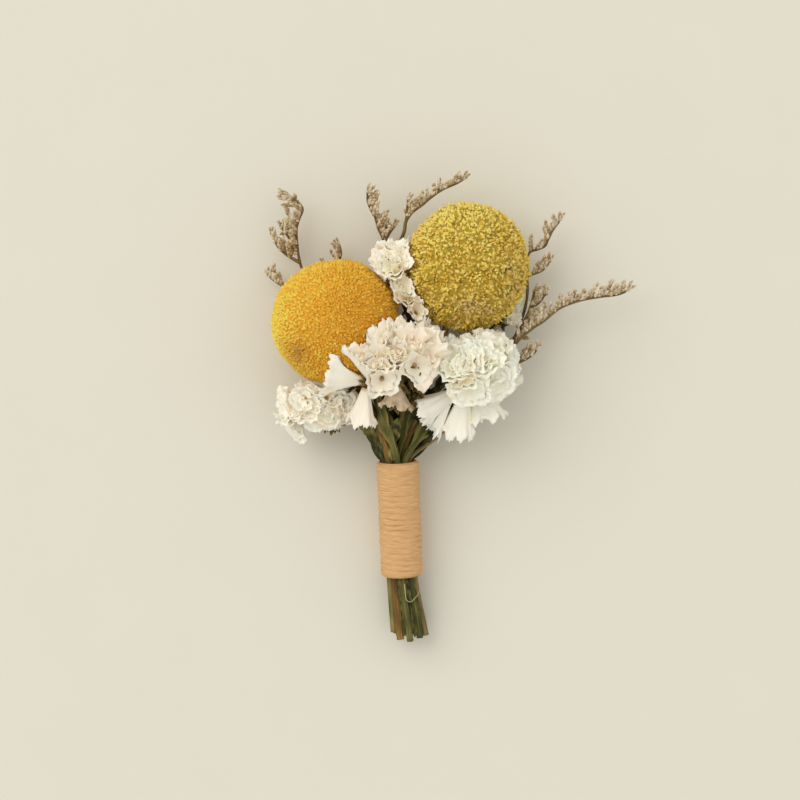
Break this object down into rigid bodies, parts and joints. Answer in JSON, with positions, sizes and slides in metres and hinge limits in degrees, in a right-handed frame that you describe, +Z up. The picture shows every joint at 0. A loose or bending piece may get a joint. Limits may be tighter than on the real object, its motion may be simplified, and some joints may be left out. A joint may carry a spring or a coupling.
{
  "type": "dried flower corsage",
  "caption": "Small bound bunch of dried flowers with round yellow heads, papery ruffled white florets, fine beige sprays and a thread-wound stem bundle.",
  "frame": {"origin": "on the surface that the corsage lies on, below the middle of its bounding box", "axes": "+Y along the stems from the cut ends towards the flowers, +Z up from the surface, +X to the right as seen from above"},
  "size_m": [0.0932, 0.1156, 0.032],
  "materials": {
    "billy_button_orange": "matte, finely granular",
    "billy_button_olive": "matte, finely granular",
    "billy_button_stem": "matte",
    "statice_stem_green": "matte",
    "sea_lavender_beige": "matte",
    "statice_petal_white": "matte, papery",
    "thread_peach": "matte thread"
  },
  "bodies": {
    "root": {"billy_button_head_left": "billy_button_orange", "billy_button_head_right": "billy_button_olive", "billy_button_stem_left": "billy_button_stem", "billy_button_stem_right": "billy_button_stem", "binding_thread": "thread_peach", "sea_lavender_spray_left": "sea_lavender_beige", "sea_lavender_spray_lower_right": "sea_lavender_beige", "sea_lavender_spray_top": "sea_lavender_beige", "sea_lavender_spray_upper_right": "sea_lavender_beige", "statice_florets_back": "statice_petal_white", "statice_florets_centre": "statice_petal_white", "statice_florets_left": "statice_petal_white", "statice_florets_low_right": "statice_petal_white", "statice_florets_right": "statice_petal_white", "statice_stem_back": "statice_stem_green", "statice_stem_centre": "statice_stem_green", "statice_stem_centre_second": "statice_stem_green", "statice_stem_left": "statice_stem_green", "statice_stem_low_right": "statice_stem_green", "statice_stem_right": "statice_stem_green"}
  },
  "joints": []
}
